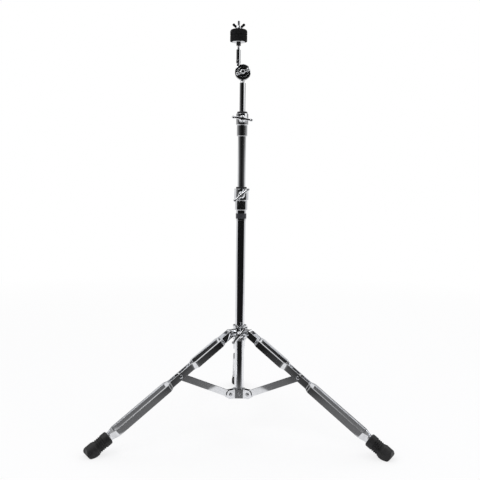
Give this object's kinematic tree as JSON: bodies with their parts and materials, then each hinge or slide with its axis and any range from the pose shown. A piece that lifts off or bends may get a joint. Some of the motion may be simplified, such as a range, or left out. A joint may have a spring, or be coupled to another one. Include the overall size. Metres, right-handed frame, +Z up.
{
  "type": "cymbal stand",
  "caption": "Straight cymbal stand: folding double-braced tripod, telescoping tubes with wing bolt clamps, tilter, threaded rod with felts and wing nut.",
  "frame": {"origin": "on the floor, at the middle of the footprint's box", "axes": "+Z up the column, -Y to the front between the two front legs, +X to the right"},
  "size_m": [0.7632, 0.661, 1.109],
  "materials": {
    "chrome": "polished chrome plate",
    "steel": "zinc plated steel",
    "nylon": "black nylon",
    "rubber": "black ribbed rubber",
    "felt": "pressed black felt",
    "band": "dark plastic band"
  },
  "bodies": {
    "base": {"lower_tube": "chrome", "tube_plug": "nylon", "tube_ferrule": "chrome", "badge_band": "band", "lower_receiver": "chrome", "spider": "chrome", "spider_screw": "steel", "left_spider_pin": "steel", "right_spider_pin": "steel", "rear_spider_pin": "steel"},
    "hub": {"leg_hub": "chrome", "hub_sleeve": "nylon", "left_hub_pin": "steel", "right_hub_pin": "steel", "rear_hub_pin": "steel"},
    "leg_left": {"left_leg_front_strap": "chrome", "left_leg_front_rivet": "steel", "left_leg_rear_strap": "chrome", "left_leg_rear_rivet": "steel", "left_foot": "rubber"},
    "stay_left": {"left_stay": "chrome"},
    "leg_right": {"right_leg_rear_strap": "chrome", "right_leg_rear_rivet": "steel", "right_leg_front_strap": "chrome", "right_leg_front_rivet": "steel", "right_foot": "rubber"},
    "stay_right": {"right_stay": "chrome"},
    "leg_rear": {"rear_leg_left_strap": "chrome", "rear_leg_left_rivet": "steel", "rear_leg_right_strap": "chrome", "rear_leg_right_rivet": "steel", "rear_foot": "rubber"},
    "stay_rear": {"rear_stay": "chrome"},
    "hub_wing": {"hub_wing_bolt": "chrome"},
    "lower_wing": {"lower_wing_bolt": "chrome"},
    "upper_wing": {"upper_wing_bolt": "chrome"},
    "tilter_wing": {"tilter_wing_bolt": "chrome", "tilter_nut": "steel"},
    "middle_swivel": {"lower_bush": "nylon"},
    "middle_section": {"middle_tube": "chrome", "upper_receiver": "chrome"},
    "upper_swivel": {"upper_bush": "nylon"},
    "upper_section": {"upper_tube": "chrome", "tilter_base": "chrome", "tilter_washer": "nylon"},
    "rod_head": {"tilter_head": "chrome", "cymbal_rod": "chrome", "seat_sleeve": "nylon", "cup_washer": "chrome", "lower_felt": "felt"},
    "top_washer": {"top_washer": "chrome"},
    "wing_nut": {"wing_nut": "chrome"},
    "upper_felt": {"upper_felt": "felt"}
  },
  "joints": [
    {"name": "hub_slide", "type": "slide", "parent": "base", "child": "hub", "axis": [0, 0, 1], "range_m": [0, 0.1768]},
    {"name": "left_leg_fold", "type": "hinge", "parent": "hub", "child": "leg_left", "pos_m": [-0.02598, -0.11449, 0.261], "axis": [0.5, -0.866, 0], "range_deg": [0, 54.99]},
    {"name": "left_stay_fold", "type": "hinge", "parent": "base", "child": "stay_left", "pos_m": [-0.02598, -0.11449, 0.097], "axis": [-0.5, 0.866, 0], "range_deg": [0, 63.6]},
    {"name": "right_leg_fold", "type": "hinge", "parent": "hub", "child": "leg_right", "pos_m": [0.02598, -0.11449, 0.261], "axis": [0.5, 0.866, 0], "range_deg": [0, 54.99]},
    {"name": "right_stay_fold", "type": "hinge", "parent": "base", "child": "stay_right", "pos_m": [0.02598, -0.11449, 0.097], "axis": [-0.5, -0.866, 0], "range_deg": [0, 63.6]},
    {"name": "rear_leg_fold", "type": "hinge", "parent": "hub", "child": "leg_rear", "pos_m": [0, -0.06949, 0.261], "axis": [-1, 0, 0], "range_deg": [0, 54.99]},
    {"name": "rear_stay_fold", "type": "hinge", "parent": "base", "child": "stay_rear", "pos_m": [0, -0.06949, 0.097], "axis": [1, 0, 0], "range_deg": [0, 63.6]},
    {"name": "hub_wing_turn", "type": "hinge", "parent": "hub", "child": "hub_wing", "pos_m": [0, -0.09949, 0.261], "axis": [0, -1, 0], "continuous": true},
    {"name": "lower_wing_turn", "type": "hinge", "parent": "base", "child": "lower_wing", "pos_m": [0, -0.09949, 0.636], "axis": [0, -1, 0], "continuous": true},
    {"name": "upper_wing_turn", "type": "hinge", "parent": "middle_section", "child": "upper_wing", "pos_m": [0, -0.09949, 0.841], "axis": [0, -1, 0], "continuous": true},
    {"name": "tilter_wing_turn", "type": "hinge", "parent": "upper_section", "child": "tilter_wing", "pos_m": [0, -0.09949, 0.9695], "axis": [0, -1, 0], "continuous": true},
    {"name": "middle_turn", "type": "hinge", "parent": "base", "child": "middle_swivel", "pos_m": [0, -0.09949, 0.652], "axis": [0, 0, 1], "continuous": true},
    {"name": "middle_slide", "type": "slide", "parent": "middle_swivel", "child": "middle_section", "axis": [0, 0, 1], "range_m": [-0.13, 0.25]},
    {"name": "upper_turn", "type": "hinge", "parent": "middle_section", "child": "upper_swivel", "pos_m": [0, -0.09949, 0.857], "axis": [0, 0, 1], "continuous": true},
    {"name": "upper_slide", "type": "slide", "parent": "upper_swivel", "child": "upper_section", "axis": [0, 0, 1], "range_m": [-0.07, 0.25]},
    {"name": "tilt", "type": "hinge", "parent": "upper_section", "child": "rod_head", "pos_m": [0, -0.09949, 0.9695], "axis": [0, -1, 0], "range_deg": [-90, 90]},
    {"name": "top_washer_lift", "type": "slide", "parent": "rod_head", "child": "top_washer", "axis": [0, 0, 1], "range_m": [0, 0.07]},
    {"name": "wing_nut_turn", "type": "hinge", "parent": "top_washer", "child": "wing_nut", "pos_m": [-0.0125, -0.10614, 1.087], "axis": [0, 0, 1], "continuous": true},
    {"name": "upper_felt_lift", "type": "slide", "parent": "rod_head", "child": "upper_felt", "axis": [0, 0, 1], "range_m": [0, 0.0451]}
  ],
  "couplings": [
    {"joint": "left_leg_fold", "follows": "hub_slide", "rad_per_m": 5.4237},
    {"joint": "left_stay_fold", "follows": "hub_slide", "rad_per_m": 6.2735},
    {"joint": "right_leg_fold", "follows": "hub_slide", "rad_per_m": 5.4237},
    {"joint": "right_stay_fold", "follows": "hub_slide", "rad_per_m": 6.2735},
    {"joint": "rear_leg_fold", "follows": "hub_slide", "rad_per_m": 5.4237},
    {"joint": "rear_stay_fold", "follows": "hub_slide", "rad_per_m": 6.2735},
    {"joint": "upper_felt_lift", "follows": "top_washer_lift", "ratio": 0.643}
  ]
}
